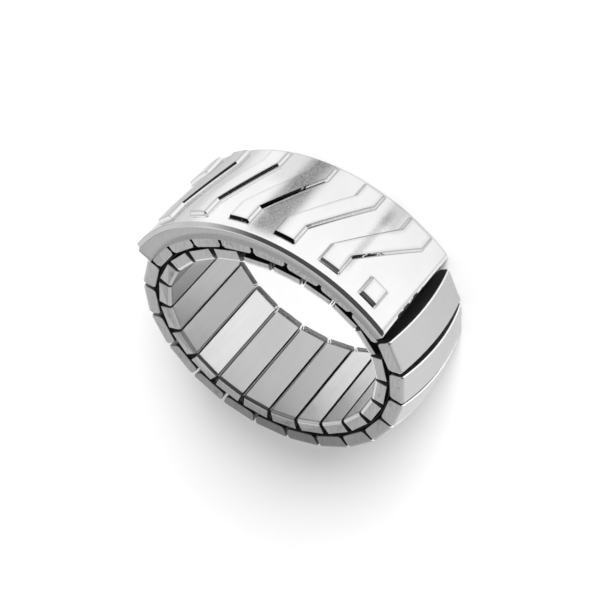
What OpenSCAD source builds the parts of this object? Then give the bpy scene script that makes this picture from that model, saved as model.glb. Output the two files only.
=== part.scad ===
// Expansion band ring with a raised top plate, all in steel.
// Two rows of sleeve links run round the finger, the outer row half a pitch ahead of the inner one.
// The ring lies on its side: +Z is the finger's axis, the plate faces -Y and the floor is z = 0.

/* [Band] */
// Links in each row
links_per_row = 22; // [22:1:22]
// Radius of the circle as long as the band's hinge line
hinge_r = 11.13; // [11:0.01:11.3]
// Flattening under the plate, as a share of the radius
flatten = 0.072; // [0.06:0.001:0.074]
// Narrowing away from the plate, as a share of the radius
taper = 0.0127; // [0.008:0.0001:0.014]
// Turn of the flattened direction away from the plate's middle
skew = 13.3; // [8:0.1:15]
// Width of the band along the finger
band_w = 9.7; // [9:0.1:9.9]

/* [Inner links] */
// Width of an inner link round the band
inner_link_l = 2.5; // [2.2:0.01:2.5]
// Depth of the inner links' finger side below the hinge line
inner_face_in = 1.45; // [1.3:0.01:1.5]
// Depth of the inner links' back below the hinge line
inner_back_in = 0.2; // [0.2:0.01:0.25]
// Depth of their back under the plate's -X half, where they are thinner
thin_back_in = 0.62; // [0.25:0.01:0.8]
// Radius on the finger side edges at the band's two rims
inner_rim_r = 0.3; // [0.1:0.05:0.5]
// Bevel on an inner link's long edges
inner_bevel = 0.06; // [0.05:0.01:0.3]

/* [Outer links] */
// Width of an outer link round the band
outer_link_l = 2.98; // [2.7:0.01:3]
// Width of their crowns, which fan out towards each other
crown_l = 3.28; // [2.98:0.01:3.3]
// Height of the outer links' inner side above the hinge line
outer_back_out = 0.12; // [0.12:0.01:0.16]
// Height of the side faces' top above the hinge line
outer_side_out = 1.42; // [1.2:0.01:1.45]
// Rise of the crown between the two side faces
crown_h = 0.7; // [0.3:0.05:0.8]
// Bevel on the crown's long edges
crown_bevel = 0.13; // [0.05:0.01:0.3]
// Radius between a side face and the crown
shoulder_r = 0.25; // [0.1:0.05:0.5]
// Bevel on an outer link's two lower corners
heel_bevel = 0.22; // [0.05:0.01:0.3]
// Outer links that lie under the plate
covered_links = 8; // [8:1:8]
// Height of the covered links' flat top above the hinge line
covered_top_out = 1.12; // [0.9:0.01:1.12]
// Slide of the covered links along the finger, from none at the plate's +X end to all at its -X end
cover_slide = 0.35; // [0:0.01:0.35]

/* [Link core] */
// Thickness of the strip between the two rows
core_strip_t = 0.1; // [0.06:0.01:0.1]
// Height of the strip's middle above the hinge line
core_strip_out = 0.01; // [0:0.01:0.02]
// Thickness of the web in each gap of the inner row
core_web_t = 0.1; // [0.06:0.01:0.12]
// Depth of a web below the hinge line
core_web_in = 1.2; // [0.6:0.05:1.3]
// Setback of the core from the band's two rims
core_setback = 0.2; // [0.2:0.05:1]

/* [Plate] */
// Width of the plate along the finger
plate_w = 10.4; // [10:0.1:11]
// Radius of the plate's upper surface
plate_r = 15.575; // [15.5:0.005:15.8]
// Distance from the band's centre back to the plate's centre of curvature
plate_back = 2.66; // [2.6:0.01:2.7]
// Distance from the band's centre sideways to the plate's centre of curvature
plate_side = 0.15; // [0:0.01:0.2]
// Thickness of the plate's sheet
plate_t = 0.68; // [0.5:0.01:0.7]
// Half of the angle spanned by the plate's upper surface
plate_half_a = 52.5; // [50:0.1:52.6]
// Bevel across the plate's two ends
end_bevel = 0.5; // [0.2:0.05:0.5]
// Height of the bevel along the plate's two long edges
edge_bevel_h = 0.45; // [0.1:0.01:0.5]
// Width of that bevel across the plate
edge_bevel_w = 0.14; // [0.05:0.01:0.3]
// Height of the two skirts below the sheet, at the plate's middle
skirt_h = 0.885; // [0.7:0.005:1]
// Shift of the skirts' lower edge towards -X, which makes them deeper at the +X end
skirt_side = 0.38; // [0:0.01:0.4]
// Thickness of the skirts
skirt_t = 0.42; // [0.3:0.01:0.5]
// Half of the angle spanned by the skirts
skirt_half_a = 53.9; // [50:0.1:54]

/* [Relief] */
// Height of the raised bars
relief_h = 0.36; // [0.1:0.01:0.4]
// Angle from one bar to the next at the near edge
near_pitch_a = 16.1; // [16:0.05:17]
// Angle from one bar to the next at the far edge
far_pitch_a = 17; // [16:0.05:17]
// Angle of the first middle bar's near end from the plate's middle
near_first_a = -11.7; // [-12:0.05:-10]
// Angle of the same bar's far end
far_first_a = -23.4; // [-24:0.05:-21]
// Angle that a bar is wide
relief_bar_a = 7.3; // [5:0.1:8]
// Extra angle of the last whole bar at its far end
flare_a = 1.8; // [0:0.1:2]
// Angle of the small pad beyond that bar from the plate's middle
pad_a = -42.6; // [-43:0.1:-42]
// Angle that the pad is wide
pad_w_a = 6.6; // [5:0.1:7]
// Angle where the cut bar in the far corner starts
corner_low_a = 38.3; // [38:0.1:40]
// Angle where it ends
corner_high_a = 50.3; // [48:0.1:50.5]
// Plain border between the cut bar and the far edge
corner_border = 0.2; // [0.15:0.01:0.4]
// Length of the cut bar across the plate
corner_leg = 2.3; // [1:0.05:3]
// Plain border at the near edge
near_border = 0.95; // [0.5:0.05:1.5]
// Plain border at the far edge
far_border = 0.4; // [0.3:0.05:1]
// Length of a bar's straight near end
near_leg = 2; // [1:0.05:3]
// Length of a bar's straight far end
far_leg = 1.65; // [1:0.05:3]
// Width of the bevel round each bar
relief_bevel = 0.14; // [0.02:0.01:0.2]

/* [Hidden] */
function numbered(stem) = [for (i = [1 : links_per_row]) str(stem, i < 10 ? "0" : "", i)];
INNER_NODES = numbered("inner_link_");
OUTER_NODES = numbered("outer_link_");

ROUND_FN = 64;
WIDE_FN = 360;
mid_z = plate_w / 2;
half_w = band_w / 2;
pitch_a = 360 / links_per_row;
degrees_per_rad = 180 / PI;
outer_depth = outer_side_out - outer_back_out;
crown_r = (half_w * half_w + crown_h * crown_h) / (2 * crown_h);
crown_axis_out = outer_side_out + crown_h - crown_r;
plate_inner_r = plate_r - plate_t;
plate_axis = [plate_side, plate_back, 0];
skirt_low_r = plate_inner_r - skirt_h;
skirt_axis = plate_axis - [skirt_side, 0, 0];
sheet_half_a = plate_half_a + degrees_per_rad * end_bevel / (plate_r - end_bevel);
// Heights of a bar's four corners, from its near end to its far end
bar_z = [plate_w - near_border, plate_w - near_border - near_leg, far_border + far_leg, far_border];
// Clearance between the skirts and the covered links
skirt_gap = 0.06;
// Overlap of the bars and the skirts with the sheet that carries them
root = 0.2;
// Overrun of the solids that only cut or trim
over = 1;
// Shift that brings the finished ring's plan centre to the origin
centre_shift = [0.025, 0.246, 0];

// Height of the hinge line's tangent over the centre, for the direction a counted from the plate
function tangent_h(a) = hinge_r * (1 - flatten * cos(2 * (a - skew)) - taper * cos(3 * a));
// Place of the hinge line's point along that tangent
function tangent_x(a) = hinge_r * (2 * flatten * sin(2 * (a - skew)) + 3 * taper * sin(3 * a));
// Length along the hinge line, as an angle, less the direction a that it leads to
function lead(a) = degrees_per_rad * (1.5 * flatten * sin(2 * (a - skew)) + 8 / 3 * taper * sin(3 * a));
function solve(length_a, a, rounds) = rounds == 0 ? a : solve(length_a, length_a - lead(a), rounds - 1);
// Direction of the hinge line i pitches from the plate's middle
function direction(i) = solve(i * pitch_a, i * pitch_a, 12);
// Point out above the hinge line, i pitches from the plate's middle
function band_point(i, out) =
    let (a = direction(i), d = tangent_h(a) + out, t = tangent_x(a))
    [d * sin(a) + t * cos(a), t * sin(a) - d * cos(a)];

// Outline moved inwards by d, for points that run counter-clockwise
function inward(p, q) = let (u = (q - p) / norm(q - p)) [-u[1], u[0]];
function inset(points, d) =
    let (n = len(points))
    [for (i = [0 : n - 1])
        let (a = inward(points[(i + n - 1) % n], points[i]), b = inward(points[i], points[(i + 1) % n]))
        points[i] + d * (a + b) / (1 + a * b)];

// Child stands on the hinge line: -Y is outwards, +X runs along the band, +Z across it
module on_band(i) {
    a = direction(i);
    rotate([0, 0, a]) translate([tangent_x(a), -tangent_h(a), mid_z]) children();
}

// Section with x across the band and y outwards, drawn out along the band
module along_band(length) {
    rotate([180, -90, 0]) translate([0, 0, -length / 2]) linear_extrude(height = length) children();
}

// Plan with x along the band and y outwards, drawn out across the band
module across_band(width) {
    rotate([180, 0, 0]) translate([0, 0, -width / 2]) linear_extrude(height = width) children();
}

module inner_section(back_in) {
    translate([-half_w, inner_rim_r - inner_face_in])
        square([band_w, inner_face_in - back_in - inner_rim_r]);
    translate([inner_rim_r - half_w, -inner_face_in])
        square([band_w - 2 * inner_rim_r, inner_face_in - back_in]);
    for (side = [-1, 1])
        translate([side * (half_w - inner_rim_r), inner_rim_r - inner_face_in])
            circle(r = inner_rim_r, $fn = ROUND_FN);
}

module inner_plan(back_in) {
    x = inner_link_l / 2;
    polygon([
        [-x, inner_bevel - inner_face_in], [inner_bevel - x, -inner_face_in],
        [x - inner_bevel, -inner_face_in], [x, inner_bevel - inner_face_in],
        [x, -back_in], [-x, -back_in]
    ]);
}

module inner_link(i) {
    back_in = i <= 0 && i >= -covered_links / 2 ? thin_back_in : inner_back_in;
    color("silver") on_band(i) intersection() {
        along_band(inner_link_l + over) inner_section(back_in);
        across_band(band_w + over) inner_plan(back_in);
    }
}

// Side faces, shoulders and crown of an outer link
module crowned_section() {
    shoulder_z = half_w - shoulder_r;
    shoulder_out = crown_axis_out + sqrt(pow(crown_r - shoulder_r, 2) - pow(shoulder_z, 2));
    crown_z = shoulder_z * crown_r / (crown_r - shoulder_r);
    translate([-half_w, outer_back_out]) square([band_w, shoulder_out - outer_back_out]);
    intersection() {
        translate([-crown_z, outer_back_out]) square([2 * crown_z, outer_depth + crown_h + over]);
        translate([0, crown_axis_out]) circle(r = crown_r, $fn = WIDE_FN);
    }
    for (side = [-1, 1])
        translate([side * shoulder_z, shoulder_out]) circle(r = shoulder_r, $fn = ROUND_FN);
}

module outer_plan(top_out, top_l) {
    x = outer_link_l / 2;
    top_x = top_l / 2;
    shoulder = min(top_out, outer_side_out) - crown_bevel;
    polygon([
        [-x, outer_back_out + heel_bevel], [heel_bevel - x, outer_back_out],
        [x - heel_bevel, outer_back_out], [x, outer_back_out + heel_bevel],
        [top_x, shoulder], [top_x, top_out], [-top_x, top_out], [-top_x, shoulder]
    ]);
}

// Round of the crown with its two bevelled edges, about an axis along the band
module crown_round() {
    x = crown_l / 2;
    translate([0, -crown_axis_out, 0]) rotate([0, 90, 0]) rotate_extrude($fn = WIDE_FN)
        polygon([
            [0, -x], [crown_r - crown_bevel, -x], [crown_r, crown_bevel - x],
            [crown_r, x - crown_bevel], [crown_r - crown_bevel, x], [0, x]
        ]);
}

module crowned_link(i) {
    color("gainsboro") on_band(i) intersection() {
        along_band(crown_l + over) crowned_section();
        across_band(band_w + over) outer_plan(outer_side_out + crown_h + over, crown_l);
        crown_round();
    }
}

// Room for the plate's skirts beside the covered links
module skirt_room() {
    depth = skirt_t + skirt_gap;
    for (z = [-over, plate_w - depth])
        translate([0, 0, z]) difference() {
            translate(plate_axis) cylinder(r = plate_r + over, h = depth + over, $fn = WIDE_FN);
            translate(skirt_axis - [0, 0, over])
                cylinder(r = skirt_low_r - skirt_gap, h = depth + 3 * over, $fn = WIDE_FN);
        }
}

module covered_link(i) {
    slide = cover_slide * (0.5 - i / covered_links);
    color("silver") difference() {
        translate([0, 0, slide]) on_band(i) across_band(band_w) outer_plan(covered_top_out, outer_link_l);
        skirt_room();
    }
}

// Count of a place round the ring from the plate's middle, the shorter way
function from_plate(i) = i > links_per_row / 2 ? i - links_per_row : i;

module outer_link(i) {
    if (abs(i) < covered_links / 2) covered_link(i);
    else crowned_link(i);
}

// Strip between the rows, with one web in each gap of the inner row
module link_core() {
    width = band_w - 2 * core_setback;
    steps = [0 : 0.5 : links_per_row - 0.5];
    color("gray") union() {
        translate([0, 0, mid_z - width / 2]) linear_extrude(height = width) difference() {
            polygon([for (i = steps) band_point(i, core_strip_out + core_strip_t / 2)]);
            polygon([for (i = steps) band_point(i, core_strip_out - core_strip_t / 2)]);
        }
        for (i = [0.5 : 1 : links_per_row - 0.5])
            on_band(i) translate([-core_web_t / 2, -core_strip_out, -width / 2])
                cube([core_web_t, core_strip_out + core_web_in, width]);
    }
}

// Sector of a round body about the plate's axis, from an outline of radius and height
module plate_sector(half_a) {
    translate(plate_axis) rotate([0, 0, -90 - half_a])
        rotate_extrude(angle = 2 * half_a, $fn = WIDE_FN) children();
}

// Child stands on the plate's upper surface at the direction a, with -Y outwards
module on_plate(a) {
    translate(plate_axis) rotate([0, 0, a]) translate([0, -plate_r, 0]) children();
}

module plate_sheet() {
    difference() {
        plate_sector(sheet_half_a) polygon([
            [plate_inner_r, 0], [plate_r - edge_bevel_h, 0], [plate_r, edge_bevel_w],
            [plate_r, plate_w - edge_bevel_w], [plate_r - edge_bevel_h, plate_w], [plate_inner_r, plate_w]
        ]);
        for (side = [-1, 1])
            on_plate(side * plate_half_a) rotate([0, 0, side * 45])
                translate([-over, -2 * over, -over]) cube([2 * over, 2 * over, plate_w + 2 * over]);
    }
}

module skirts() {
    low = skirt_low_r - 2 * skirt_side;
    for (z = [0, plate_w - skirt_t])
        difference() {
            plate_sector(skirt_half_a) translate([low, z]) square([plate_inner_r + root - low, skirt_t]);
            translate(skirt_axis + [0, 0, z - over])
                cylinder(r = skirt_low_r, h = skirt_t + 2 * over, $fn = WIDE_FN);
        }
}

// Outline of a bar on the plane that touches the plate at mid_a, from angles and heights of its two
// long edges; it runs up the edge on -X and down the edge on +X
function bar_outline(low_a, high_a, z, mid_a) =
    let (n = len(z), x = function (a) plate_r * sin(a - mid_a))
    concat([for (i = [0 : n - 1]) [x(low_a[i]), z[i]]], [for (i = [n - 1 : -1 : 0]) [x(high_a[i]), z[i]]]);

// Block under an outline, with sloped sides that meet the outline at the plate's surface
module bar_block(outline) {
    n = len(outline);
    low = -3 * relief_h;
    high = 2 * relief_h;
    slope = relief_bevel / relief_h;
    foot = [for (p = inset(outline, slope * low)) [p[0], -low, p[1]]];
    top = [for (p = inset(outline, slope * high)) [p[0], -high, p[1]]];
    polyhedron(
        points = concat(foot, top),
        faces = concat(
            [[for (i = [0 : n - 1]) i]], [[for (i = [n - 1 : -1 : 0]) n + i]],
            [for (i = [0 : n - 1]) [(i + 1) % n, i, n + i, n + (i + 1) % n]]
        )
    );
}

// Raised block on the plate, trimmed to a level top; the z values run down from the near edge
module relief_block(low_a, high_a, z) {
    mid_a = (min(low_a) + max(high_a)) / 2;
    intersection() {
        on_plate(mid_a) bar_block(bar_outline(low_a, high_a, z, mid_a));
        plate_sector(plate_half_a) translate([plate_r - root, 0]) square([relief_h + root, plate_w]);
    }
}

// Zigzag bar j, which a flare widens at its far end
module relief_bar(j, flare = 0) {
    near_a = near_first_a + j * near_pitch_a;
    far_a = far_first_a + j * far_pitch_a;
    half = relief_bar_a / 2;
    low_a = [near_a - half, near_a - half, far_a - half - flare, far_a - half - flare];
    high_a = [near_a, near_a, far_a, far_a] + [half, half, half, half];
    relief_block(low_a, high_a, bar_z);
}

// Four-sided block between two angles and two heights
module relief_rectangle(low_a, high_a, high_z, low_z) {
    relief_block([low_a, low_a], [high_a, high_a], [high_z, low_z]);
}

module top_plate() {
    color("whitesmoke") union() {
        plate_sheet();
        skirts();
        relief_bar(-1, flare = flare_a);
        for (j = [0 : 3]) relief_bar(j);
        relief_rectangle(corner_low_a, corner_high_a, corner_border + corner_leg, corner_border);
        relief_rectangle(pad_a - pad_w_a / 2, pad_a + pad_w_a / 2, bar_z[0], bar_z[1]);
    }
}

translate(centre_shift) {
    top_plate();
    link_core();
    for (i = [0 : links_per_row - 1]) {
        inner_link(from_plate(i));
        outer_link(from_plate(i + 0.5));
    }
}
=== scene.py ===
"""Looks, studio and camera for the expansion band ring that lies on its side.

Lengths are millimetres until a mesh, light or camera takes them. Directions round the ring are degrees
counted from -Y, where the plate's middle is, towards +X.
"""
import math

import bpy
import numpy as np
from mathutils import Matrix, Vector


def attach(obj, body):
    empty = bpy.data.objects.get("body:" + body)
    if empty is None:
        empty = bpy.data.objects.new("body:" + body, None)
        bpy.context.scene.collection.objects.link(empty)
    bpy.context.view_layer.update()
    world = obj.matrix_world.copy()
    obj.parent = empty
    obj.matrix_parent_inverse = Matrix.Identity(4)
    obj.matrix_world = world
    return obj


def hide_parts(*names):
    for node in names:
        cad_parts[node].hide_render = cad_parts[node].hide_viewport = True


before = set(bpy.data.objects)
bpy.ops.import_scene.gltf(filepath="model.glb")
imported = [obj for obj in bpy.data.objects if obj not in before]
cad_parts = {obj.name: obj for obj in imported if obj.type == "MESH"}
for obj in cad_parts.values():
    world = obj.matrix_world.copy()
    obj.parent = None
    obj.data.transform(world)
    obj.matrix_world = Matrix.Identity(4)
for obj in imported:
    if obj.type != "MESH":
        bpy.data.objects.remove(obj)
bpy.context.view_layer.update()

MM = 0.001
DEG = math.pi / 180

# Band
LINKS = 22                       # links in each row
HINGE_R = 11.13                  # radius of the circle as long as the hinge line
FLATTEN = 0.072                  # flattening under the plate, as a share of that radius
TAPER = 0.0127                   # narrowing away from the plate, as a share of it
SKEW = 13.3                      # turn of the flattened direction away from the plate's middle
SOLVE_STEPS = 12                 # repeats that find a direction on the hinge line
BAND_W = 9.7                     # width of the band along the finger
CENTRE = (0.025, 0.246)          # band's centre from the origin

# Inner links, heights counted outwards from the hinge line
INNER_L = 2.5                    # width round the band
INNER_FACE = -1.45               # side that touches the finger
INNER_BACK = -0.2                # side towards the outer links
THIN_BACK = -0.62                # back of the links under the plate's -X half
INNER_RIM_R = 0.3                # rounding of the finger side at the band's rims
INNER_EDGE_R = 0.05              # rounding of their long edges
INNER_WEAR_R = 0.03              # wear on the edges of their side faces

# Outer links
OUTER_L = 2.98                   # width round the band, below the crown
OUTER_BACK = 0.12                # side towards the inner links
HEEL = 0.22                      # bevel on the two lower corners
SIDE_TOP = 1.42                  # top of the side faces
CROWN_L = 3.28                   # width of the crown, which fans out from the link
CROWN_H = 0.7                    # rise of the crown between the side faces
CROWN_BEVEL = 0.13               # polished bevel on the crown's long edges
SHOULDER_R = 0.25                # rounding between side face and crown
EDGE_R = 0.05                    # wear on the other edges
COVERED = 4                      # outer links under the plate on each side of its middle

# Numbers of places across a link: over the worn edge, over the rim's rounding and over half of the flat
EDGE_PLACES = 5
RIM_PLACES = 7
FLAT_PLACES = 6
RIM_TURN = 75                    # degrees of the rounding that its places cover
FLAT_GAP = 0.05                  # distance of the flat's last place from the rounding

# Top plate
PLATE_W = 10.4                   # width along the finger
PLATE_R = 15.575                 # radius of the upper surface
PLATE_AXIS = (0.15, 2.66)        # centre of curvature from the band's centre
PLATE_T = 0.68                   # thickness of the sheet
PLATE_HALF_A = 52.5              # half of the angle that the upper surface spans
END_BEVEL = 0.5                  # bevel across both ends, rounded at the -X end, the photo's right
LIP_STEPS = 5                    # points round that rounded lip
EDGE_BEVEL_H = 0.45              # bevel along both long edges, height
EDGE_BEVEL_W = 0.14              # and width
EDGE_STEPS = 5                   # points round each of its two edges
SKIRT_R = 14.01                  # radius of the turned-down edges' lower side
SKIRT_SIDE = 0.38                # shift of that circle towards -X
SKIRT_T = 0.42                   # thickness of the turned-down edges

# Zigzag relief
RELIEF_H = 0.36                  # height of the bars
NEAR_PITCH_A = 16.1              # angles from bar to bar and of the first one, at both borders
FAR_PITCH_A = 17.0
NEAR_FIRST_A = -11.7
FAR_FIRST_A = -23.4
BAR_A = 7.3                      # angle that a bar is wide
FLARE_A = 1.8                    # extra width of the last bar at its far end
PAD_A = -42.6                    # small square beyond that bar, and its width
PAD_W_A = 6.6
PAD_LINES = (-5.4, -2.5)         # its grid lines at the far border, in degrees from the last bar
CORNER_FAR = (38.3, 50.3)        # angles of the cut bar in the far corner
CORNER_NEAR = (43.45, 51.0)      # angles that its edges' grid lines have at the near border
CORNER_Z = (0.2, 2.5)            # its reach across the plate
NEAR_BORDER = 0.95               # plain strips beside the bars
FAR_BORDER = 0.4
NEAR_LEG = 2.0                   # straight ends of a bar
FAR_LEG = 1.65
WALL_RUN = 0.14                  # slope of a bar's wall, across
FOOT_R = 0.3                     # hollow fillet at the foot of a wall
CREST_R = 0.07                   # rounding at its top
ARC_STEPS = 6                    # points round each of them
HOLD = 0.02                      # flat strip beside a rounding, which keeps the flats' shading flat

A_PER_MM = 1 / (PLATE_R * DEG)   # degrees that one millimetre of the upper surface spans
# Places across the plate where the bars turn from their straight ends into the slant
Z_KINKS = (FAR_BORDER + FAR_LEG, PLATE_W - NEAR_BORDER - NEAR_LEG)

# Grid of the upper surface: longest step along and across the plate, the strip beside a wall that keeps the
# wall's direction, and the least distance of a row from the far bevel
COLUMN_STEP = 0.3
ROW_STEP = 0.25
WALL_MARGIN = 0.25
ROW_GAP = 0.09

# The misty bands are rougher, and their grey is a painted reflection of shade
# Finish of the plate, with painted shade and painted reflections
# Hazy bands across it: direction, half width in degrees, start and end from the far edge, strength
HAZE_BANDS = [
    (-4.6, 4.8, -0.6, 10.3, 1.0),
    (4.0, 4.0, -1.0, 4.4, 0.25),
    (-31.6, 1.2, 0.5, 9.0, 0.4),
    (-33.2, 3.4, -1.0, 3.4, 0.42),
    (22.5, 2.6, -1.0, 11.0, 0.2),
    (34.0, 2.2, 2.0, 9.5, 0.2),
    (41.0, 3.0, -1.0, 11.0, 0.12)]
HAZE_FADE = 1.2                  # length over which a band fades at its ends
END_SHADE = (15.0, 34.0, 0.9)     # painted reflection of shade, growing from the first direction to the second, up to this strength
LINE_END_FADE = 0.8                  # share of the corner lines' greyness that the painted grey end takes away
WALL_CLEAR = 6                   # how clear of haze and of the painted grey end the walls are
LINE_FOOT = (-0.05, 0.05)        # place and width of the grey line at a wall's foot
LINE_CREST = (0.02, 0.04)        # the same from its crest
LINE_REACH = 0.1                 # distance that these lines run on past the wall's ends
FAR_STRIP = 0.17                 # width of the strip along the far edge that is painted grey, a painted reflection of shade
FAR_EDGE_SHADE = 0.6              # strength of that painted grey, which also makes the strip rougher
BEVEL_SHADE = 0.5                 # strength of the painted reflection of shade on the bevels along the two long edges
LINE_GREY = 0.6                  # strength of the grey, rougher lines painted along the other edges
LIP_DARK_SPECKLES = (4.1, 8.3)               # stretch of the right end's bevel with small painted dark reflections
# Bars whose slanted wall on -X is painted black, a painted dark reflection, with the strength at its near
# and far end, and bars whose near end is: 2 is black all over, 1 broken up
DARK_REFLECTION_WALLS = {3: (1.7, 0.6), 1: (1.3, 0.3)}
DARK_REFLECTION_ENDS = {2: 2.4, 3: 1.3}

# Painted shade on the links: side faces opposite the plate are painted darker, and so is the
# fold along the rims there, a painted dark line. Most, middle and width in pitches
INNER_PAINTED_SHADE = (0.45, 10.9, 2.6)
OUTER_PAINTED_SHADE = (0.66, 11.0, 3.6)
RIM_PAINTED_SHADE = (0.9, 9.8, 2.4)
FOLD_GAIN = 2.5                  # steepness of the fold's dark line
# Painted shade on the finger faces that are darker than their neighbours, by link number
FINGER_PAINTED_SHADE = {5: 0.36, 6: 0.36, 7: 0.36, 8: 0.4, 10: 0.28, 11: 0.34, 12: 0.38, 13: 0.14, 14: 0.26,
               15: 0.2, 16: 0.1}

# Brushing: real marks are 0.02 to 0.05 mm apart, and these are drawn wide enough to show
PHOTO_UPRIGHT = (0, 0, -8.7 * DEG)   # turn of +Y to the photo's upright, the way the side faces are brushed
ALONG_Z = (90 * DEG, 0, 0)       # turn of +Y to the finger's axis
MARK_W = 0.14                    # distance between marks
SATIN_MARK_W = 0.3               # the same on the finger faces
LONG_MARKS = 20                  # length of a mark in such distances
SHORT_MARKS = 12                 # the same on the side faces
CLOUD_MM = 2.5                   # size of the patches where the marks are stronger
CLOUD_ROUGH = 0.04               # change of roughness between them

# Other patterns: sizes, and the values of their noise between which they set in
FILLED = (0.3, 0.7)              # values that a noise mostly keeps between
SMUDGE_MM = 0.9                  # finger marks
SMUDGED = (0.62, 0.72)
PIT_MM = 0.16                    # pitted grain of the covered sleeves
PITTED = (0.5, 0.6)
PATCH_MM = 3.0                   # the places that have it
PATCHED = (0.45, 0.6)
PIT_MOST = 0.6
BUFF_MM = 2.6                    # clouds that buffing leaves on the plate, drawn out along the finger
BUFF_STRETCH = (1, 1, 1.6)
BUFF_ROUGH = (0.05, 0.1)         # roughness between those clouds
BUFF_HAZE = (0.8, 1.15)          # strength of the haze between them
DULL_ROUGH = 0.2                 # roughness that haze and the painted grey lines add
PRESS_MM = 0.15                  # fine grain of the press tool
SPECKLE_MM = 0.5                    # grain that breaks up the painted dark reflections on the lip and the walls into speckles
SPECKLED = (0.45, 0.49)
BOARD_MM = 15.0                  # clouds of the board
STEEP = (0.4, 0.6)               # height of a normal between an upright wall's and a level face's


# Materials
def linear(hex_colour):
    """sRGB hex to linear RGBA: each channel c/255, then ((c + 0.055) / 1.055) ** 2.4."""
    channels = [int(hex_colour[i:i + 2], 16) / 255 for i in (1, 3, 5)]
    return [c / 12.92 if c < 0.04045 else ((c + 0.055) / 1.055) ** 2.4 for c in channels] + [1.0]


def add(tree, kind, sockets=(), **settings):
    """Add one node. Settings are its own values. Sockets come in their order, or by name or number, and each
    takes a value, a hex colour, or the output or node that feeds it, a node by its first output in use."""
    node = tree.nodes.new("ShaderNode" + kind)
    for name, value in settings.items():
        setattr(node, name, value)
    for name, value in sockets.items() if isinstance(sockets, dict) else enumerate(sockets):
        if isinstance(value, bpy.types.Node):
            value = next(output for output in value.outputs if output.enabled)
        if isinstance(value, bpy.types.NodeSocket):
            tree.links.new(value, node.inputs[name])
        else:
            node.inputs[name].default_value = linear(value) if isinstance(value, str) else value
    return node


def new_material(name):
    """Empty node material and its tree."""
    material = bpy.data.materials.new(name)
    material.use_nodes = True
    material.node_tree.nodes.clear()
    return material, material.node_tree


def grain(tree, size_mm, stretch=(1, 1, 1), turn=(0, 0, 0), detail=3.0, shift=(0, 0, 0)):
    """Cloudy grain whose cells are size_mm across, drawn out by stretch along each axis after a turn."""
    coords = add(tree, "TexCoord").outputs["Object"]
    placed = add(tree, "Mapping", {
        "Vector": coords, "Rotation": turn, "Location": tuple(s * MM for s in shift),
        "Scale": tuple(size_mm * MM * s for s in stretch)}, vector_type="TEXTURE")
    return add(tree, "TexNoise", {"Vector": placed, "Scale": 1.0, "Detail": detail, "Roughness": 0.6})


def metal(tree, colour, rough, height, depth_mm):
    """Metal shader with a colour, a roughness and a bump that is depth_mm deep."""
    bump = add(tree, "Bump", {"Height": height, "Distance": depth_mm * MM, "Strength": 1.0})
    shader = add(tree, "BsdfPrincipled", {
        "Base Color": colour, "Metallic": 1.0, "Roughness": rough, "Normal": bump})
    add(tree, "OutputMaterial", {"Surface": shader})


def brushed(tree, dark, light, rough, turn, mark_w, marks_long, smudge):
    """Colour, marks and roughness of steel brushed on a belt: long fine marks that blur reflections across
    their run. A sleeve's painted shade, an attribute, takes it towards black, smudge is how strong its
    finger marks are."""
    marks = grain(tree, mark_w, (1, marks_long, 1), turn)
    cloud = grain(tree, CLOUD_MM, detail=2.0)
    strength = add(tree, "Math", [cloud, 0.5], operation="ADD")
    shade = add(tree, "MapRange", [add(tree, "Math", [marks, strength], operation="MULTIPLY"), *FILLED])
    colour = add(tree, "Mix", {0: shade, 6: dark, 7: light}, data_type="RGBA")
    if smudge:
        spots = grain(tree, SMUDGE_MM, (1, 1, 2), detail=2.0, shift=(3, 1, 0))
        spots = add(tree, "MapRange", [spots, *SMUDGED, 0, smudge])
        colour = add(tree, "Mix", {0: spots, 6: colour, 7: "#3A3A3A"}, data_type="RGBA")
    # Painted shade of the sleeve, from its attribute, darkens the colour towards black
    dull_and_painted_shade = add(tree, "Attribute", attribute_name="dull_and_painted_shade").outputs["Fac"]
    colour = add(tree, "Mix", {0: dull_and_painted_shade, 6: colour, 7: "#000000"}, data_type="RGBA")
    return colour, marks, add(tree, "MapRange", [cloud, *FILLED, rough - CLOUD_ROUGH, rough + CLOUD_ROUGH])


def brushed_steel(name, dark, light, rough, turn, mark_w=MARK_W, marks_long=LONG_MARKS, depth_mm=0.002,
                  smudge=0.0):
    """Stainless steel in one finish all over, with brushing marks of its own size, length and depth."""
    material, tree = new_material(name)
    colour, marks, rough = brushed(tree, dark, light, rough, turn, mark_w, marks_long, smudge)
    metal(tree, colour, rough, marks, depth_mm)
    return material


def upright(tree):
    """1 on walls that stand upright, 0 on faces that look up or down."""
    normal = add(tree, "NewGeometry").outputs["Normal"]
    up = add(tree, "SeparateXYZ", [normal]).outputs["Z"]
    return add(tree, "MapRange", [add(tree, "Math", [up], operation="ABSOLUTE"), *STEEP, 1, 0])


def covered_steel():
    """Flat sleeves under the plate, brushed on their side faces, with a fine pitted grain in places that
    looks like frost; their upright walls are painted dark grey, a painted shade under the plate."""
    material, tree = new_material("brushed_steel_sleeves_painted_shade_walls")
    colour, marks, rough = brushed(tree, "#AEAEAE", "#C2C2C2", rough=0.34, turn=PHOTO_UPRIGHT,
                                   mark_w=MARK_W, marks_long=SHORT_MARKS, smudge=0.2)
    pit = add(tree, "MapRange", [grain(tree, PIT_MM, detail=1.0), *PITTED, 0, 1])
    patch = add(tree, "MapRange", [grain(tree, PATCH_MM, detail=1.0), *PATCHED, 0, PIT_MOST])
    pits = add(tree, "Math", [pit, patch], operation="MULTIPLY")
    colour = add(tree, "Mix", {0: pits, 6: colour, 7: "#787878"}, data_type="RGBA")
    # Painted shade: upright walls go dark grey
    colour = add(tree, "Mix", {0: upright(tree), 6: colour, 7: "#3C3C3C"}, data_type="RGBA")
    metal(tree, colour, rough, marks, depth_mm=0.0015)
    return material


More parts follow.
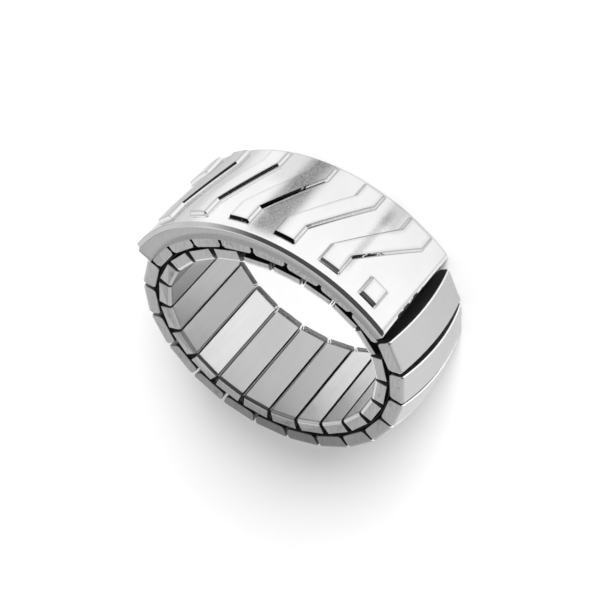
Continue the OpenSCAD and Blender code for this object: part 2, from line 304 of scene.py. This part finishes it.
def core_steel():
    """Spring steel between the rows: grey on its broad faces, with its ends at the band's sides painted near
    black, a painted shade that makes the gaps between the links look dark."""
    material, tree = new_material("spring_steel_painted_shade_ends")
    colour, marks, rough = brushed(tree, "#9A9A9A", "#A8A8A8", rough=0.45, turn=ALONG_Z,
                                   mark_w=MARK_W, marks_long=SHORT_MARKS, smudge=0.0)
    # Painted shade: the ends that look up or down go near black
    colour = add(tree, "Mix", {0: upright(tree), 6: "#1C1C1C", 7: colour}, data_type="RGBA")
    metal(tree, colour, rough, marks, depth_mm=0.001)
    return material


def plate_steel():
    """Steel plate buffed to a mirror after pressing. Grey, rougher lines are painted at the walls' feet and
    crests and along the edges; a painted reflection of shade greys the far edge, the long bevels, the +X end
    and the rougher misty bands across the plate, which also keep the fine grain of the press tool; painted
    dark reflections black some walls and the lip."""
    material, tree = new_material("buffed_pressed_steel")
    corner, haze_and_mirrored_shade, mirrored_shade, painted_dark_reflection = (add(tree, "Attribute", attribute_name=name).outputs["Fac"]
                                for name in ("corner", "haze_and_mirrored_shade", "mirrored_shade", "painted_dark_reflection"))
    cloud = grain(tree, BUFF_MM, BUFF_STRETCH, detail=4.0)
    fine = grain(tree, PRESS_MM, detail=2.0)
    broken = add(tree, "Math", [painted_dark_reflection, grain(tree, SPECKLE_MM)], operation="MULTIPLY")
    broken = add(tree, "MapRange", [broken, *SPECKLED, 0, 1])
    uneven = add(tree, "MapRange", [cloud, *FILLED, *BUFF_HAZE])
    hazy_and_shaded = add(tree, "Math", [haze_and_mirrored_shade, uneven], operation="MULTIPLY")
    grey = {0: add(tree, "MapRange", [fine, *FILLED, 0, 1]), 6: "#747474", 7: "#A8A8A8"}
    buffed = {0: add(tree, "MapRange", [cloud, *FILLED, 0, 1]), 6: "#ECECEC", 7: "#F2F2F2"}
    colour = add(tree, "Mix", buffed, data_type="RGBA")
    # In turn: painted reflection of shade, grey of the misty bands as painted reflection of shade, painted
    # grey lines and painted dark reflections
    for share, shown in ((mirrored_shade, "#969696"), (hazy_and_shaded, add(tree, "Mix", grey, data_type="RGBA")),
                         (corner, "#9A9A9A"), (broken, "#2A2A2A")):
        colour = add(tree, "Mix", {0: share, 6: colour, 7: shown}, data_type="RGBA")
    # Roughness that the misty bands and the painted grey lines add
    dull_and_painted_shade = add(tree, "Math", [corner, hazy_and_shaded], operation="ADD")
    dull_and_painted_shade = add(tree, "Math", [dull_and_painted_shade, DULL_ROUGH], operation="MULTIPLY")
    rough = add(tree, "MapRange", [cloud, *FILLED, *BUFF_ROUGH])
    metal(tree, colour, add(tree, "Math", [rough, dull_and_painted_shade], operation="ADD"), fine, depth_mm=0.0008)
    return material


# Surfaces
def put_piece(name, points, faces, materials, kinds, attributes=None):
    """Piece at the origin from points in millimetres; kinds gives each face's material number."""
    mesh = bpy.data.meshes.new(name)
    mesh.from_pydata((points * MM).tolist(), [], faces)
    for material in materials:
        mesh.materials.append(material)
    mesh.polygons.foreach_set("material_index", np.asarray(kinds, np.int32))
    mesh.polygons.foreach_set("use_smooth", np.array([len(face) == 4 for face in faces]))
    for key, values in (attributes or {}).items():
        mesh.attributes.new(key, "FLOAT", "POINT").data.foreach_set("value", values.astype(np.float32))
    mesh.update()
    piece = bpy.data.objects.new(name, mesh)
    bpy.context.scene.collection.objects.link(piece)
    return piece


def stand_for(piece, node):
    """Let a piece take the place of a CAD node."""
    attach(piece, "root")
    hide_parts(node)


def shell_faces(rings, loop):
    """Quads between rings of loop points each, closed round the loop."""
    i, k = np.meshgrid(np.arange(rings - 1), np.arange(loop), indexing="ij")
    after = (k + 1) % loop
    corners = [i * loop + k, (i + 1) * loop + k, (i + 1) * loop + after, i * loop + after]
    return np.stack(corners, -1).reshape(-1, 4)


def soft_corners(corners, radii, steps=5, hold=0.03):
    """Closed outline with rounded corners: each corner becomes a quadratic curve between the points radius
    away on its two sides, with one more point hold further out on each to keep the flats flat."""
    corners = np.array(corners, float)
    parts = []
    for at, radius, before, after in zip(corners, radii, np.roll(corners, 1, 0), np.roll(corners, -1, 0)):
        u = (before - at) / np.linalg.norm(before - at)
        v = (after - at) / np.linalg.norm(after - at)
        t = np.linspace(0, 1, steps)[:, None]
        curve = at + u * radius * (1 - t) ** 2 + v * radius * t ** 2
        parts += [[at + u * (radius + hold)], curve, [at + v * (radius + hold)]]
    return np.concatenate(parts)


def tangent_point(a):
    """Distance of the hinge line's tangent from the centre, and the touching point's place along it, for a
    direction a: R(1 - F cos 2(a - S) - T cos 3a) and R(2F sin 2(a - S) + 3T sin 3a)."""
    turned = 2 * (a - SKEW) * DEG
    return (HINGE_R * (1 - FLATTEN * math.cos(turned) - TAPER * math.cos(3 * a * DEG)),
            HINGE_R * (2 * FLATTEN * math.sin(turned) + 3 * TAPER * math.sin(3 * a * DEG)))


def direction(i):
    """Direction of the hinge line i pitches from the plate's middle. The length along the line, as an angle,
    is a + 1.5F sin 2(a - S) + 8/3 T sin 3a, solved by repeated steps."""
    length = a = i * 360 / LINKS
    for _ in range(SOLVE_STEPS):
        lean = 1.5 * FLATTEN * math.sin(2 * (a - SKEW) * DEG) + 8 / 3 * TAPER * math.sin(3 * a * DEG)
        a = length - lean / DEG
    return a


def on_band(i, along, out, z):
    """Points from places along the band, heights above the hinge line and z, i pitches from the middle."""
    a = direction(i)
    height, start = tangent_point(a)
    along, out = start + along, height + out
    sine, cosine = math.sin(a * DEG), math.cos(a * DEG)
    return np.stack([CENTRE[0] + out * sine + along * cosine, CENTRE[1] + along * sine - out * cosine,
                     np.broadcast_to(z, along.shape)], -1)


def across_places(edge_r, rim_r):
    """Places across the band, from rim to rim, crowded at the rims, and how far each outline is drawn in.

    The last edge_r follows a quarter circle: the place is half - r(1 - sin t), the draw-in r(1 - cos t).
    """
    half = BAND_W / 2
    edge = half - edge_r * (1 - np.sin(np.linspace(0, 90, EDGE_PLACES) * DEG))
    rim = half - rim_r * (1 - np.sin(np.linspace(0, RIM_TURN, RIM_PLACES) * DEG))
    flat = np.linspace(0, half - rim_r - FLAT_GAP, FLAT_PLACES)
    z = np.unique(np.round(np.concatenate([flat, rim[rim < edge[0]], edge]), 5))
    draw = np.where(z > edge[0], edge_r - np.sqrt(np.maximum(edge_r ** 2 - (z - edge[0]) ** 2, 0)), 0)
    return np.concatenate([-z[:0:-1], z]), np.concatenate([draw[:0:-1], draw])


def shade_bell(i, most, middle, width):
    """Painted shade of the sleeve i pitches round: a bell curve most * exp(-((i - middle) / width)^2)."""
    return most * math.exp(-((i - middle) / width) ** 2)


def link_piece(name, i, outline, moved, z, draw, lift, kinds, materials, dull_and_painted_shade):
    """Link as a closed shell: its outline (along, out) carried across the band.

    At each place the points marked moved are lifted by lift, and all are drawn in along the outline's
    own normals, which rounds the side faces' edges. Two flat faces close the ends.
    """
    step = np.roll(outline, -1, 0) - np.roll(outline, 1, 0)
    normal = np.stack([-step[:, 1], step[:, 0]], -1)
    normal /= np.linalg.norm(normal, axis=1, keepdims=True)
    along = outline[None, :, 0] + draw[:, None] * normal[None, :, 0]
    out = outline[None, :, 1] + draw[:, None] * normal[None, :, 1] + lift[:, None] * moved[None]
    points = on_band(i, along, out, (z + PLATE_W / 2)[:, None])
    rings, loop = along.shape
    faces = shell_faces(rings, loop).tolist()
    faces += [list(range(loop)), list(range(rings * loop - 1, (rings - 1) * loop - 1, -1))]
    kinds = list(np.tile(kinds, rings - 1)) + [SIDE, SIDE]
    # Painted shade of the sleeve, kept as a point attribute
    attributes = {"dull_and_painted_shade": np.broadcast_to(dull_and_painted_shade, (rings, loop)).ravel()}
    return put_piece(name, points.reshape(-1, 3), faces, materials, kinds, attributes)


# Material numbers of a link's faces: shown face, side faces, walls in the gaps, and bevels or back
SHOWN = 0
SIDE = 1
WALL = 2
TRIM = 3


def inner_link(i, node, materials):
    """Inner sleeve: flat finger face whose two rims are rounded by a quarter circle."""
    half, back_out = INNER_L / 2, THIN_BACK if -COVERED <= i <= 0 else INNER_BACK
    corners = [(-half, INNER_FACE), (half, INNER_FACE), (half, back_out), (-half, back_out)]
    outline = soft_corners(corners, [INNER_EDGE_R] * len(corners))
    moved = (outline[:, 1] < (INNER_FACE + back_out) / 2).astype(float)
    z, draw = across_places(INNER_WEAR_R, INNER_RIM_R)
    over = np.maximum(np.abs(z) - (BAND_W / 2 - INNER_RIM_R), 0)
    lift = INNER_RIM_R - np.sqrt(np.maximum(INNER_RIM_R ** 2 - over ** 2, 0))
    finger = outline[:, 1] < INNER_FACE + INNER_EDGE_R / 2
    back = outline[:, 1] > back_out - EDGE_R
    kinds = np.where(finger & np.roll(finger, -1), SHOWN, np.where(back & np.roll(back, -1), TRIM, WALL))
    turned = i % LINKS
    # Painted shade: a dark line along the rims' fold, and darker faces on some links
    fold_shade = shade_bell(turned, *RIM_PAINTED_SHADE) * np.minimum(FOLD_GAIN * np.sin(over / INNER_RIM_R * math.pi), 1)
    finger_shade = np.maximum(fold_shade[:, None], FINGER_PAINTED_SHADE.get(turned + 1, 0))
    dull_and_painted_shade = np.where(finger, finger_shade, shade_bell(turned, *INNER_PAINTED_SHADE))
    piece = link_piece(node + "_sleeve", i, outline, moved, z, draw, lift, kinds, materials, dull_and_painted_shade)
    stand_for(piece, node)


def crown_height(z):
    """Height of the crown at places z across the band: a wide arc that meets the side faces in two
    shoulders, each an arc of radius SHOULDER_R that touches it."""
    half_w = BAND_W / 2
    crown_r = (half_w ** 2 + CROWN_H ** 2) / (2 * CROWN_H)
    crown_axis = SIDE_TOP + CROWN_H - crown_r
    shoulder_z = half_w - SHOULDER_R
    shoulder_out = crown_axis + math.sqrt((crown_r - SHOULDER_R) ** 2 - shoulder_z ** 2)
    touch_z = shoulder_z * crown_r / (crown_r - SHOULDER_R)
    over = np.maximum(np.abs(z) - shoulder_z, 0)
    return np.where(np.abs(z) < touch_z, crown_axis + np.sqrt(crown_r ** 2 - z ** 2),
                    shoulder_out + np.sqrt(np.maximum(SHOULDER_R ** 2 - over ** 2, 0)))


def crowned_link(i, node, materials):
    """Outer sleeve: bevelled heel, crown that is an arc across the band, and rounded shoulders."""
    half, top_half = OUTER_L / 2, CROWN_L / 2
    corners = [(-half, OUTER_BACK + HEEL), (HEEL - half, OUTER_BACK),
               (half - HEEL, OUTER_BACK), (half, OUTER_BACK + HEEL),
               (top_half, SIDE_TOP - CROWN_BEVEL), (top_half - CROWN_BEVEL, SIDE_TOP),
               (CROWN_BEVEL - top_half, SIDE_TOP), (-top_half, SIDE_TOP - CROWN_BEVEL)]
    outline = soft_corners(corners, [EDGE_R] * len(corners), steps=4)
    moved = (outline[:, 1] > (OUTER_BACK + SIDE_TOP) / 2).astype(float)
    z, draw = across_places(EDGE_R, SHOULDER_R)
    level = outline[:, 1] > SIDE_TOP - EDGE_R
    slope = outline[:, 1] > SIDE_TOP - CROWN_BEVEL - EDGE_R
    kinds = np.where(level & np.roll(level, -1), SHOWN, np.where(slope & np.roll(slope, -1), TRIM, WALL))
    # Painted shade on the side faces, strongest opposite the plate
    outer_half = np.abs(z) > (BAND_W - SHOULDER_R) / 2
    dull_and_painted_shade = shade_bell(i, *OUTER_PAINTED_SHADE) * outer_half[:, None]
    lift = crown_height(z) - SIDE_TOP
    piece = link_piece(node + "_sleeve", i, outline, moved, z, draw, lift, kinds, materials, dull_and_painted_shade)
    stand_for(piece, node)


def wall_profile():
    """Offsets and heights up a bar's wall, from the hollow fillet at its foot to its rounded crest.

    The wall is a straight slope through (0, 0) and (WALL_RUN, RELIEF_H). Each arc touches the slope and a
    level line, and its steps are even in angle.
    """
    slope = math.atan2(RELIEF_H, WALL_RUN)
    turn = np.linspace(0, slope, ARC_STEPS)
    foot_start = -FOOT_R * math.tan(slope / 2)
    crest_end = WALL_RUN + CREST_R * math.tan(slope / 2)
    foot = np.stack([foot_start + FOOT_R * np.sin(turn), FOOT_R * (1 - np.cos(turn))])
    back = turn[::-1]
    crest = np.stack([crest_end - CREST_R * np.sin(back), RELIEF_H - CREST_R * (1 - np.cos(back))])
    flat = HOLD * np.array([[-1], [0]])
    return np.concatenate([foot[:, :1] + flat, foot, crest, crest[:, -1:] - flat], axis=1)


WALL_X, WALL_H = wall_profile()


def rise(offset):
    """Height of a wall, 0 to 1, at an offset in millimetres inwards from its foot line."""
    return np.interp(offset, WALL_X, WALL_H / RELIEF_H)


def fill(values, step):
    """Sorted values with even steps added so that none is further than step from the next."""
    values = np.unique(np.round(values, 6))
    parts = [np.linspace(a, b, max(2, int(math.ceil((b - a) / step)) + 1))[:-1]
             for a, b in zip(values[:-1], values[1:])]
    return np.append(np.concatenate(parts), values[-1])


def zigzag_bars():
    """Edge angles of each raised form: near low, near high, far low, far high, lower z, upper z. The pad is
    the first and the cut bar the last."""
    z_near, half = PLATE_W - NEAR_BORDER, BAR_A / 2
    bars = []
    for j in range(-1, 4):
        near, far = NEAR_FIRST_A + j * NEAR_PITCH_A, FAR_FIRST_A + j * FAR_PITCH_A
        flare = FLARE_A if j < 0 else 0
        bars.append((near - half, near + half, far - half - flare, far + half, FAR_BORDER, z_near))
    low, high = (bars[0][2] + line for line in PAD_LINES)
    pad = (PAD_A - PAD_W_A / 2, PAD_A + PAD_W_A / 2, low, high, Z_KINKS[1], z_near)
    return [pad, *bars, (*CORNER_NEAR, *CORNER_FAR, *CORNER_Z)]


def grid_columns(bars):
    """Angles of the grid's columns at the near border and at the far border, crowded where walls are."""
    margin = WALL_MARGIN * A_PER_MM
    knots = [(-PLATE_HALF_A, -PLATE_HALF_A)]
    for near, far in sorted((n, f) for b in bars for n, f in ((b[0], b[2]), (b[1], b[3]))):
        knots += [(near - margin, far - margin), (near + margin, far + margin)]
    knots = np.array(knots + [(PLATE_HALF_A, PLATE_HALF_A)])
    near = [-PLATE_HALF_A, PLATE_HALF_A]
    for low, high, *_ in bars:
        near += list(low + WALL_X * A_PER_MM) + list(high - WALL_X * A_PER_MM)
    near = fill(np.array(near), COLUMN_STEP * A_PER_MM)
    return near, np.interp(near, knots[:, 0], knots[:, 1])


def grid_rows():
    """Places of the grid's rows across the plate, from the near bevel to the far one."""
    rows = [PLATE_W - EDGE_BEVEL_W, *Z_KINKS]
    for z in (FAR_BORDER, CORNER_Z[0], Z_KINKS[1]):
        rows += list(z + WALL_X)
    for z in (PLATE_W - NEAR_BORDER, CORNER_Z[1]):
        rows += list(z - WALL_X)
    rows = np.array(rows)
    return fill(np.append(rows[rows > EDGE_BEVEL_W + ROW_GAP], EDGE_BEVEL_W), ROW_STEP)[::-1]


def corner_lines(offset):
    """1 on the two thin grey lines painted at a wall's foot and crest."""
    foot, foot_w = LINE_FOOT
    crest, crest_w = LINE_CREST
    return (np.exp(-((offset - foot) / foot_w) ** 2)
            + np.exp(-((offset - WALL_RUN - crest) / crest_w) ** 2))


def painted_dark_walls(bars, near, rows, lean):
    """Painted dark reflections on the walls that the two tables of dark walls and ends name."""
    black = np.zeros((len(near), len(rows)))
    for bar, (start, end) in DARK_REFLECTION_WALLS.items():
        across = (near - bars[bar][0])[:, None] / A_PER_MM
        wall = (across > -HOLD) & (across < WALL_RUN + HOLD) & (lean > 0) & (lean < 1)
        black += wall * (start + (end - start) * lean)
    for bar, strength in DARK_REFLECTION_ENDS.items():
        up = PLATE_W - NEAR_BORDER - rows
        inside = (near > bars[bar][0]) & (near < bars[bar][1])
        black += strength * inside[:, None] * (up > -HOLD) * (up < WALL_RUN + HOLD)
    return black


def relief_grid():
    """Angles, heights, painted grey lines and painted dark reflections on the walls of the plate's upper
    surface, on a grid that runs along the bars, and the grid's places across the plate.

    A column has one angle at the near border and one at the far border; between the two kinks it goes
    straight from one to the other. Height is RELIEF_H times the wall profile across the bar times the
    profile at its two ends.
    """
    bars = zigzag_bars()
    near, far = grid_columns(bars)
    rows = grid_rows()
    lean = np.clip((Z_KINKS[1] - rows) / (Z_KINKS[1] - Z_KINKS[0]), 0, 1)
    angle = near[:, None] + (far - near)[:, None] * lean
    height, corner = np.zeros_like(angle), np.zeros_like(angle)
    for low, high, _, _, z_low, z_high in bars:
        side = np.minimum(near - low, high - near)[:, None] / A_PER_MM
        end = np.minimum(rows - z_low, z_high - rows)[None]
        height = np.maximum(height, RELIEF_H * rise(side) * rise(end))
        lines = np.maximum(corner_lines(side) * rise(end + LINE_REACH),
                           corner_lines(end) * rise(side + LINE_REACH))
        corner = np.maximum(corner, lines)
    # Painted reflection of shade along the far edge
    corner = np.maximum(corner, FAR_EDGE_SHADE * (rows < FAR_STRIP))
    return angle, height, corner, painted_dark_walls(bars, near, rows, lean), rows


def plate_edge():
    """Radius and z of the plate's near edge, from the turned-down edge's foot to the upper surface."""
    corners = [(PLATE_R, 0), (SKIRT_R, PLATE_W), (PLATE_R - EDGE_BEVEL_H, PLATE_W),
               (PLATE_R, PLATE_W - EDGE_BEVEL_W)]
    soft = soft_corners(corners, [0, 0, EDGE_R, EDGE_R], EDGE_STEPS)
    return np.concatenate([[corners[1]], soft[2 * CORNER_POINTS:]])


# Points of the outer path: those of one rounded corner, the first corner's middle, and those of the bevel
CORNER_POINTS = EDGE_STEPS + 2
FOLD = 1 + CORNER_POINTS // 2
BEVEL_POINTS = slice(CORNER_POINTS - 1, CORNER_POINTS + 3)
SKIRT_FACES = 2                  # faces of its section on the side of a turned-down edge
PLATE_EDGE = plate_edge()


def over_edges(grid):
    """Grid whose first and last rows are repeated down the plate's near and far edge, and which has empty
    columns for the lip and the other end."""
    n = len(PLATE_EDGE)
    near_edge, far_edge = np.repeat(grid[:, :1], n, 1), np.repeat(grid[:, -1:], n, 1)
    path = np.concatenate([near_edge, grid[:, 1:-1], far_edge], axis=1)
    return np.pad(path, ((LIP_STEPS, 1), (0, 0)))


def outer_surface(angle, height, rows):
    """Turn, radius and z of the plate's outer path, a column at a time.

    The lip at the -X end drops by r(1 - cos t) while it runs out by r sin t, and the other end is one
    straight bevel. The skirts' feet lie on a circle that is shifted sideways: radius SKIRT_R less SKIRT_SIDE
    times the sine of the direction.
    """
    flat = np.full(len(rows) - 2, PLATE_R)
    z = np.concatenate([PLATE_EDGE[:, 1], rows[1:-1], PLATE_W - PLATE_EDGE[::-1, 1]])
    radius = over_edges(height) + np.concatenate([PLATE_EDGE[:, 0], flat, PLATE_EDGE[::-1, 0]])
    turn = over_edges(angle)
    t = np.linspace(90, 0, LIP_STEPS + 1)[:-1, None] * DEG
    turn[:LIP_STEPS] = turn[LIP_STEPS] - END_BEVEL * A_PER_MM * np.sin(t)
    turn[-1] = turn[-2] + END_BEVEL * A_PER_MM
    radius[:LIP_STEPS] = np.minimum(radius[LIP_STEPS], PLATE_R - END_BEVEL * (1 - np.cos(t)))
    radius[-1] = np.minimum(radius[-2], PLATE_R - END_BEVEL)
    radius[:, [0, -1]] = SKIRT_R - SKIRT_SIDE * np.sin(turn[:, :1] * DEG)
    return turn, radius, z


def inner_surface(foot, z):
    """Radius and z of the inner path, which follows the outer one at the sheet's thickness and spreads its
    points evenly up the skirts."""
    inner_r = PLATE_R - PLATE_T
    share = np.ones(len(z))
    near_skirt, far_skirt = np.sum(z >= PLATE_W - SKIRT_T), np.sum(z <= SKIRT_T)
    share[:near_skirt] = np.linspace(0, 1, near_skirt)
    share[-far_skirt:] = np.linspace(1, 0, far_skirt)
    return foot + (inner_r - foot) * share, np.clip(z, SKIRT_T, PLATE_W - SKIRT_T)


def haze_at(angle, z):
    """Haze of the plate, its grey a painted reflection of shade: each band has the flat-topped profile
    exp(-(d / w)^4) across its direction, and fades over its last HAZE_FADE."""
    haze_and_mirrored_shade = np.zeros_like(angle)
    for middle, width, low, high, strength in HAZE_BANDS:
        ends = np.clip((z - low) / HAZE_FADE, 0, 1) * np.clip((high - z) / HAZE_FADE, 0, 1)
        haze_and_mirrored_shade += strength * np.exp(-((angle - middle) / width) ** 4) * ends
    return np.minimum(haze_and_mirrored_shade, 1)


def plate_marks_and_painted_shade(turn, radius, z, corner, black):
    """Painted grey lines, misty bands, painted reflection of shade and painted dark reflections of the outer
    path's points. Haze and the painted grey end keep off the walls by 1 - WALL_CLEAR p(1 - p), where p is
    the share of the bars' height."""
    # Painted grey lines along the lip and the edges' folds
    corner[LIP_STEPS] = LINE_GREY
    corner[:, [FOLD, FOLD + CORNER_POINTS]] = LINE_GREY
    # Painted reflection of shade: grey that grows towards the +X end and lies on the two long bevels
    start, end, most = END_SHADE
    share = np.clip((turn - start) / (end - start), 0, 1)
    part = np.clip((radius - PLATE_R) / RELIEF_H, 0, 1)
    level = np.clip(1 - WALL_CLEAR * part * (1 - part), 0, 1)
    mirrored_shade = most * share * level
    mirrored_shade[:, BEVEL_POINTS] = mirrored_shade[:, ::-1][:, BEVEL_POINTS] = BEVEL_SHADE
    # Painted dark reflections on the lip, which the material breaks up into speckles
    black[:LIP_STEPS] = (z > LIP_DARK_SPECKLES[0]) & (z < LIP_DARK_SPECKLES[1])
    return {"corner": corner * (1 - LINE_END_FADE * share), "haze_and_mirrored_shade": haze_at(turn, z) * level,
            "mirrored_shade": mirrored_shade, "painted_dark_reflection": black}


def top_plate_piece(top, side):
    """Plate as a closed shell: its section, out and back, carried round the plate's axis.

    The outer path runs from the near skirt's foot over the upper surface to the far skirt's foot, the
    inner path follows it inside, and both have the same number of points, so each end is one strip.
    """
    angle, height, corner, black, rows = relief_grid()
    turn, radius, z = outer_surface(angle, height, rows)
    finish = plate_marks_and_painted_shade(turn, radius, z, over_edges(corner), over_edges(black))
    inner_r, inner_z = inner_surface(radius[:, :1], z)
    columns, path = radius.shape

    shell_r = np.concatenate([radius, inner_r[:, ::-1]], axis=1)
    shell_a = np.concatenate([turn, turn[:, ::-1]], axis=1) * DEG
    shell_z = np.tile(np.concatenate([z, inner_z[::-1]]), (columns, 1))
    points = np.stack([CENTRE[0] + PLATE_AXIS[0] + shell_r * np.sin(shell_a),
                       CENTRE[1] + PLATE_AXIS[1] - shell_r * np.cos(shell_a), shell_z], axis=-1)
    loop = 2 * path
    k = np.arange(path - 1)
    end = np.stack([k, k + 1, loop - 2 - k, loop - 1 - k], -1)
    faces = np.concatenate([shell_faces(columns, loop), end, end[:, ::-1] + (columns - 1) * loop])
    outwards = faces[:, [0, 3, 2, 1]]
    spot = np.arange(loop)
    polished = (spot >= SKIRT_FACES) & (spot < path - 1 - SKIRT_FACES)
    kinds = np.concatenate([np.tile(np.where(polished, 0, 1), columns - 1), np.zeros(2 * len(k), int)])
    inside = np.zeros((columns, path))
    attributes = {key: np.concatenate([values, inside], axis=1).ravel() for key, values in finish.items()}
    points = points.reshape(-1, 3)
    piece = put_piece("zigzag_plate", points, outwards.tolist(), [top, side], kinds, attributes)
    stand_for(piece, "top_plate")


# Studio: camera, a white tent open at its top, and two lamps
CAMERA_AT = (-79.485, -115.612, 100.35)    # mm
CAMERA_HEADING = 34.652                    # degrees from +Y towards +X
CAMERA_DOWN = 34.251                       # degrees below the horizon
CAMERA_ROLL = -139.194                     # the photo was taken with the ring's axis near sideways
LENS_MM = 117.887
SENSOR_MM = 36.0                           # width of its sensor
CLIP = (0.01, 10.0)                        # metres that the camera sees from and to

FLOOR_HALF = 2000.0                        # half of the board's side
SKY = 0.95                                 # brightness of the white tent's walls
TOP_DARK = 0.12                            # brightness of its opening above
TOP_START, TOP_END = 0.74, 0.86            # sine of the elevation where the walls end in it
SIDE_DARK = 0.03                           # brightness of the open side behind the camera
SIDE_START, SIDE_END = 0.74, 0.86          # cosine of the angle from its middle, at its rim and inside it
SIDE_MIDDLE = Vector((-0.75, -0.55, 0.33)).normalized()

LAMP_AT = (0, 0, 0.3)                      # metres
KEY_STRENGTH = 7.5                         # lamp that throws the soft shadow
KEY_SOFT = 28.0                            # its apparent size in degrees
KEY_HEADING = 24.0                         # degrees from -Y towards -X
KEY_HEIGHT = 17.0                          # and above the floor
HOLE_LIGHT = 3.1                           # watts of the lamp over the finger hole
HOLE_SPOT_R = 12.0                         # radius that it lights
HOLE_BLEND = 0.15                          # share of it that fades
HOLE_LAMP_R = 0.5                          # radius of the lamp itself


def camera():
    """Camera that looks straight down, rolled on its axis, tilted up about X and turned about Z."""
    data = bpy.data.cameras.new("camera")
    data.lens = LENS_MM
    data.sensor_width = SENSOR_MM
    data.clip_start, data.clip_end = CLIP
    holder = bpy.data.objects.new("camera", data)
    holder.location = Vector(CAMERA_AT) * MM
    heading = Matrix.Rotation(-CAMERA_HEADING * DEG, 3, "Z")
    tilt = Matrix.Rotation((90 - CAMERA_DOWN) * DEG, 3, "X")
    roll = Matrix.Rotation(CAMERA_ROLL * DEG, 3, "Z")
    holder.rotation_euler = (heading @ tilt @ roll).to_euler()
    bpy.context.scene.collection.objects.link(holder)
    bpy.context.scene.camera = holder


def pale_floor():
    """Matt white board under the ring: faint clouds of white, soft shadows and next to no gloss."""
    material, tree = new_material("matt_white_board")
    colour = add(tree, "Mix", {0: grain(tree, BOARD_MM), 6: "#F4F4F4", 7: "#F8F8F8"}, data_type="RGBA")
    shader = add(tree, "BsdfPrincipled", {"Base Color": colour, "Roughness": 0.9, "Specular IOR Level": 0.1})
    add(tree, "OutputMaterial", {"Surface": shader})
    corners = FLOOR_HALF * np.array([(-1, -1, 0), (1, -1, 0), (1, 1, 0), (-1, 1, 0)])
    put_piece("floor", corners, [[0, 1, 2, 3]], [material], [0])


def studio_light():
    """White tent open at its top: bright walls up to about 50 degrees, dim above, and a dark camera side."""
    world = bpy.data.worlds.new("studio")
    world.use_nodes = True
    tree = world.node_tree
    tree.nodes.clear()
    towards = add(tree, "TexCoord").outputs["Generated"]
    up = add(tree, "SeparateXYZ", [towards]).outputs["Z"]
    walls = add(tree, "MapRange", [up, TOP_START, TOP_END, SKY, TOP_DARK])
    aside = add(tree, "VectorMath", [towards, SIDE_MIDDLE], operation="DOT_PRODUCT")
    open_side = add(tree, "MapRange", [aside, SIDE_START, SIDE_END, 1.0, SIDE_DARK])
    strength = add(tree, "Math", [walls, open_side], operation="MULTIPLY")
    background = add(tree, "Background", {"Color": "#FFFFFF", "Strength": strength})
    add(tree, "OutputWorld", {"Surface": background})
    bpy.context.scene.world = world


def floor_lamp(data, rotation):
    """Lamp that lights the board only: mirrors don't show it."""
    lamp = bpy.data.objects.new(data.name, data)
    lamp.location = LAMP_AT
    lamp.rotation_euler = rotation
    lamp.visible_glossy = False
    bpy.context.scene.collection.objects.link(lamp)


def key_light():
    """Wide soft lamp from the camera's side, which throws the ring's shadow away from the camera."""
    data = bpy.data.lights.new("key_light", "SUN")
    data.energy = KEY_STRENGTH
    data.angle = KEY_SOFT * DEG
    floor_lamp(data, ((90 - KEY_HEIGHT) * DEG, 0, -KEY_HEADING * DEG))


def hole_light():
    """Narrow lamp straight above the ring that lights the board inside it."""
    data = bpy.data.lights.new("hole_light", "SPOT")
    data.energy = HOLE_LIGHT
    data.shadow_soft_size = HOLE_LAMP_R * MM
    data.spot_size = 2 * math.atan(HOLE_SPOT_R * MM / LAMP_AT[2])
    data.spot_blend = HOLE_BLEND
    floor_lamp(data, (0, 0, 0))


bpy.context.scene.view_settings.view_transform = "Standard"
camera()
pale_floor()
studio_light()
key_light()
hole_light()

mirror = plate_steel()
# Belt marks streak the side faces and the plate's turned-down edges with a soft grey sheen
edge = brushed_steel("belt_brushed_steel_edge", "#B0B0B0", "#B9B9B9", rough=0.34, turn=PHOTO_UPRIGHT,
                     marks_long=SHORT_MARKS)
side = brushed_steel("belt_brushed_steel_sides", "#AEAEAE", "#C4C4C4", rough=0.34, turn=PHOTO_UPRIGHT,
                     marks_long=SHORT_MARKS, smudge=0.3)
# Satin faces, brushed along the finger, spread what they mirror into smooth bands
crown = brushed_steel("satin_steel_crowns", "#C2C2C2", "#C6C6C6", rough=0.33, turn=ALONG_Z,
                      depth_mm=0.0006)
finger = brushed_steel("satin_steel_finger_side", "#E6E6E6", "#ECECEC", rough=0.34, turn=ALONG_Z,
                       mark_w=SATIN_MARK_W, depth_mm=0.0003)
# Gap walls are painted darker than the faces, a painted shade, darkest on the backs between the rows
gap_walls = brushed_steel("steel_walls_painted_shade", "#7C7C7C", "#8E8E8E", rough=0.5, turn=ALONG_Z)
gap_backs = brushed_steel("steel_backs_painted_dark_shade", "#4A4A4A", "#5C5C5C", rough=0.5, turn=ALONG_Z)
inner_gap_walls = brushed_steel("steel_inner_walls_painted_shade", "#9A9A9A", "#AAAAAA", rough=0.5, turn=ALONG_Z)
# Polished bevels, painted near white as a painted highlight, draw a thin bright line along each crown
bright = brushed_steel("polished_steel_bevels_painted_highlight", "#F0F0F0", "#FAFAFA", rough=0.12, turn=ALONG_Z,
                       depth_mm=0.0004)
core = core_steel()
covered = covered_steel()

top_plate_piece(mirror, edge)
for name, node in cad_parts.items():
    number = int(name[-2:]) if name[-2:].isdigit() else 0
    if name.startswith("inner_link"):
        pitches = number - 1 if number - 1 <= LINKS / 2 else number - 1 - LINKS
        inner_link(pitches, name, [finger, side, inner_gap_walls, gap_backs])
    elif name.startswith("outer_link") and COVERED < number <= LINKS - COVERED:
        crowned_link(number - 0.5, name, [crown, side, gap_walls, bright])
    elif name != "top_plate":
        node.data.materials.clear()
        node.data.materials.append(core if name == "link_core" else covered)
